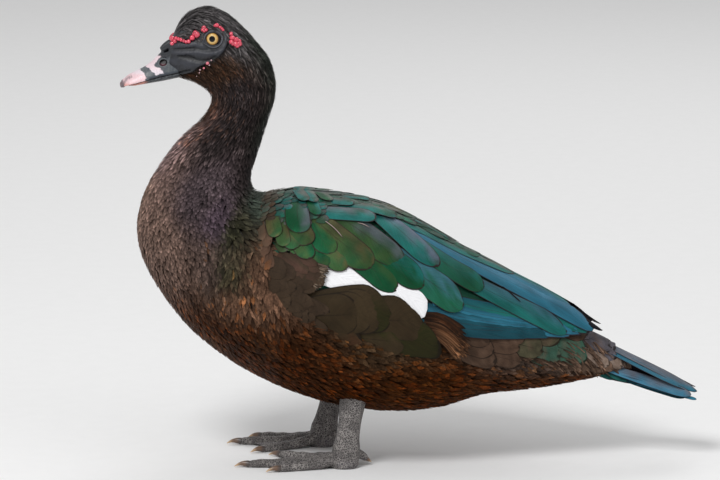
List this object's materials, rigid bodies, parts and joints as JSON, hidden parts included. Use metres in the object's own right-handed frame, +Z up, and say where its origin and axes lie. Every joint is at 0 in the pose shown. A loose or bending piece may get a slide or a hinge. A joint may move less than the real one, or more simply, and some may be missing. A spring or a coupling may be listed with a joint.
{
  "type": "duck",
  "caption": "Life-size muscovy duck standing on two webbed feet, with an upright neck, folded wings, a low fan of tail feathers and fleshy beads round the eyes.",
  "frame": {"origin": "on the floor, at the middle of the bird's length and width", "axes": "-X is the way the bird faces, -Y its left side, +Z up"},
  "size_m": [0.4915, 0.172, 0.3886],
  "materials": {
    "body_plumage": "soft dark brown contour feathers",
    "head_plumage": "fine brownish-black feathers, slate-grey bare face and coral-red beads",
    "wing_plumage": "glossy green to blue-teal flight feathers",
    "bill_horn": "satin slate-grey and pale pink horn",
    "eye": "wet amber iris round a black pupil",
    "leg_skin": "dark grey scaled skin",
    "claw_horn": "satin brown horn"
  },
  "bodies": {
    "root": {"torso": "body_plumage", "neck": "body_plumage", "head": "head_plumage", "bill_upper": "bill_horn", "bill_lower": "bill_horn", "eye_left": "eye", "eye_right": "eye", "wing_left": "wing_plumage", "wing_right": "wing_plumage", "tail": "wing_plumage", "shank_left": "leg_skin", "shank_right": "leg_skin", "foot_left": "leg_skin", "foot_right": "leg_skin", "claw_outer_left": "claw_horn", "claw_middle_left": "claw_horn", "claw_inner_left": "claw_horn", "claw_hind_left": "claw_horn", "claw_outer_right": "claw_horn", "claw_middle_right": "claw_horn", "claw_inner_right": "claw_horn", "claw_hind_right": "claw_horn"}
  },
  "joints": []
}
